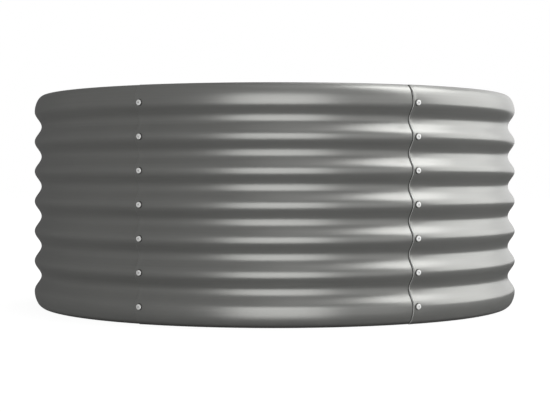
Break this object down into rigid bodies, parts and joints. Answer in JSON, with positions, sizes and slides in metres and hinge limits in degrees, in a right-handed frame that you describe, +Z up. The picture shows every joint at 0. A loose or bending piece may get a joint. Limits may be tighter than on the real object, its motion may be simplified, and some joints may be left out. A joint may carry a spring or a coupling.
{
  "type": "raised garden bed",
  "caption": "Round raised garden bed of corrugated sheet steel panels, lapped and bolted, open at the top and at the foot.",
  "frame": {"origin": "on the bed's axis, at the level that its foot rim stands on", "axes": "+Z up along the bed's axis; -Y towards the front, the middle of the panel that faces the picture's viewer; +X to that viewer's right"},
  "size_m": [0.8394, 0.8314, 0.36],
  "materials": {
    "grey_paint": "semi-gloss grey coating on both faces",
    "zinc_plate": "zinc-plated, satin"
  },
  "bodies": {
    "root": {"panel_1": "grey_paint", "panel_2": "grey_paint", "panel_3": "grey_paint", "panel_4": "grey_paint", "panel_5": "grey_paint", "panel_6": "grey_paint", "seam_1_bolt_1": "zinc_plate", "seam_1_bolt_2": "zinc_plate", "seam_1_bolt_3": "zinc_plate", "seam_1_bolt_4": "zinc_plate", "seam_1_bolt_5": "zinc_plate", "seam_1_bolt_6": "zinc_plate", "seam_1_bolt_7": "zinc_plate", "seam_2_bolt_1": "zinc_plate", "seam_2_bolt_2": "zinc_plate", "seam_2_bolt_3": "zinc_plate", "seam_2_bolt_4": "zinc_plate", "seam_2_bolt_5": "zinc_plate", "seam_2_bolt_6": "zinc_plate", "seam_2_bolt_7": "zinc_plate", "seam_3_bolt_1": "zinc_plate", "seam_3_bolt_2": "zinc_plate", "seam_3_bolt_3": "zinc_plate", "seam_3_bolt_4": "zinc_plate", "seam_3_bolt_5": "zinc_plate", "seam_3_bolt_6": "zinc_plate", "seam_3_bolt_7": "zinc_plate", "seam_4_bolt_1": "zinc_plate", "seam_4_bolt_2": "zinc_plate", "seam_4_bolt_3": "zinc_plate", "seam_4_bolt_4": "zinc_plate", "seam_4_bolt_5": "zinc_plate", "seam_4_bolt_6": "zinc_plate", "seam_4_bolt_7": "zinc_plate", "seam_5_bolt_1": "zinc_plate", "seam_5_bolt_2": "zinc_plate", "seam_5_bolt_3": "zinc_plate", "seam_5_bolt_4": "zinc_plate", "seam_5_bolt_5": "zinc_plate", "seam_5_bolt_6": "zinc_plate", "seam_5_bolt_7": "zinc_plate", "seam_6_bolt_1": "zinc_plate", "seam_6_bolt_2": "zinc_plate", "seam_6_bolt_3": "zinc_plate", "seam_6_bolt_4": "zinc_plate", "seam_6_bolt_5": "zinc_plate", "seam_6_bolt_6": "zinc_plate", "seam_6_bolt_7": "zinc_plate"}
  },
  "joints": []
}
